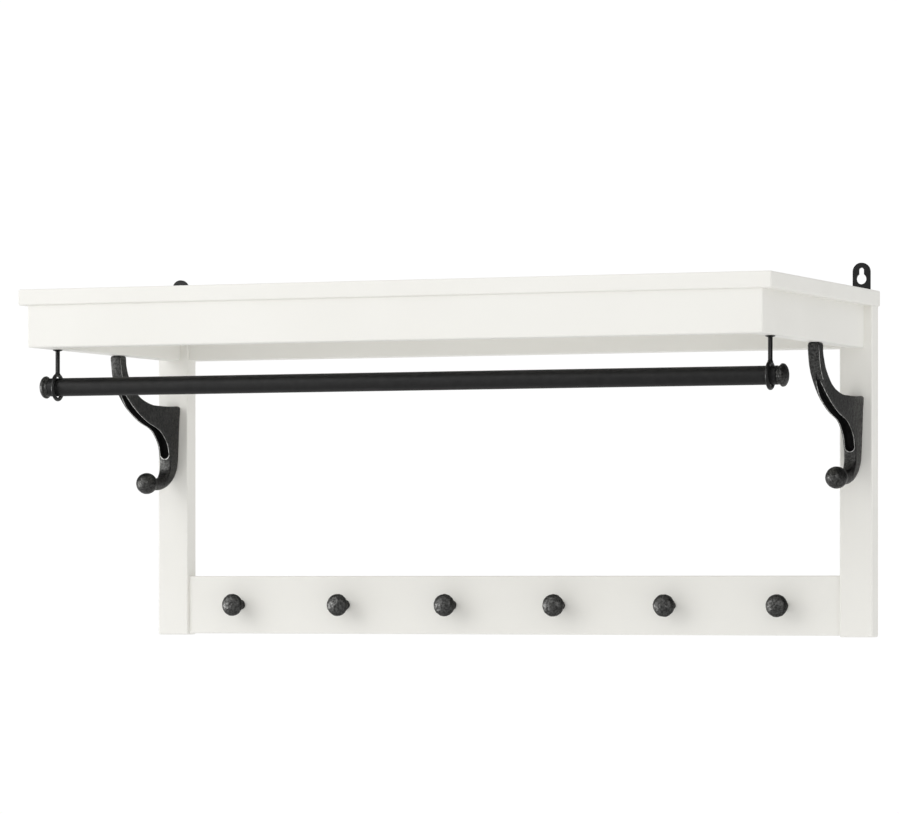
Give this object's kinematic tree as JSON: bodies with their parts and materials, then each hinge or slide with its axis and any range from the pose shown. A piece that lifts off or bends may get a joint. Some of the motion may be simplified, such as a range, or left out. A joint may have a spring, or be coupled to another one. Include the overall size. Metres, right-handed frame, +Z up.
{
  "type": "wall hook rack",
  "caption": "Wall shelf on a two-post frame with cast hook brackets, a row of cast knobs on its lower rail and a round clothes rail in screw eyes.",
  "frame": {"origin": "middle of the top board's back edge face, on the wall plane", "axes": "+X along the rack to the right of someone facing it, +Y into the wall, +Z up"},
  "size_m": [0.85, 0.373, 0.404],
  "materials": {
    "white_paint": "satin white paint",
    "black_cast_iron": "black lacquer on a cast, slightly rough skin",
    "black_painted_steel": "satin black",
    "black_tube_lacquer": "smooth satin black",
    "zinc_plated_steel": "zinc plated",
    "beech": "bare wood"
  },
  "bodies": {
    "frame": {"top_board": "white_paint", "front_fascia": "white_paint", "upper_back_rail": "white_paint", "lower_back_rail": "white_paint", "post_left": "white_paint", "side_rail_left": "white_paint", "hook_bracket_left": "black_cast_iron", "screw_eye_left": "black_painted_steel", "hanger_plate_left": "black_painted_steel", "post_right": "white_paint", "side_rail_right": "white_paint", "hook_bracket_right": "black_cast_iron", "screw_eye_right": "black_painted_steel", "hanger_plate_right": "black_painted_steel", "knob_1": "black_cast_iron", "knob_2": "black_cast_iron", "knob_3": "black_cast_iron", "knob_4": "black_cast_iron", "knob_5": "black_cast_iron", "knob_6": "black_cast_iron", "knob_screw_1": "zinc_plated_steel", "knob_screw_2": "zinc_plated_steel", "knob_screw_3": "zinc_plated_steel", "knob_screw_4": "zinc_plated_steel", "knob_screw_5": "zinc_plated_steel", "knob_screw_6": "zinc_plated_steel", "hook_bolt_left_upper": "zinc_plated_steel", "hook_bolt_left_lower": "zinc_plated_steel", "hook_arm_screw_left": "zinc_plated_steel", "side_rail_screw_left": "zinc_plated_steel", "plate_screw_left_upper": "zinc_plated_steel", "plate_screw_left_lower": "zinc_plated_steel", "corner_dowel_left_upper": "beech", "corner_dowel_left_lower": "beech", "upper_rail_dowel_left_upper": "beech", "upper_rail_dowel_left_lower": "beech", "lower_rail_dowel_left_upper": "beech", "lower_rail_dowel_left_lower": "beech", "board_dowel_back_left": "beech", "board_dowel_front_left": "beech", "hook_bolt_right_upper": "zinc_plated_steel", "hook_bolt_right_lower": "zinc_plated_steel", "hook_arm_screw_right": "zinc_plated_steel", "side_rail_screw_right": "zinc_plated_steel", "plate_screw_right_upper": "zinc_plated_steel", "plate_screw_right_lower": "zinc_plated_steel", "corner_dowel_right_upper": "beech", "corner_dowel_right_lower": "beech", "upper_rail_dowel_right_upper": "beech", "upper_rail_dowel_right_lower": "beech", "lower_rail_dowel_right_upper": "beech", "lower_rail_dowel_right_lower": "beech", "board_dowel_back_right": "beech", "board_dowel_front_right": "beech"},
    "rail_ends": {"rail_finial_left": "black_cast_iron", "rail_finial_right": "black_cast_iron"},
    "rail_tube": {"rail_tube": "black_tube_lacquer"}
  },
  "joints": [
    {"name": "rail_slide", "type": "slide", "parent": "frame", "child": "rail_ends", "axis": [1, 0, 0], "range_m": [-0.009, 0.009]},
    {"name": "rail_turn", "type": "hinge", "parent": "rail_ends", "child": "rail_tube", "pos_m": [0, -0.317, -0.0946], "axis": [1, 0, 0], "continuous": true}
  ]
}
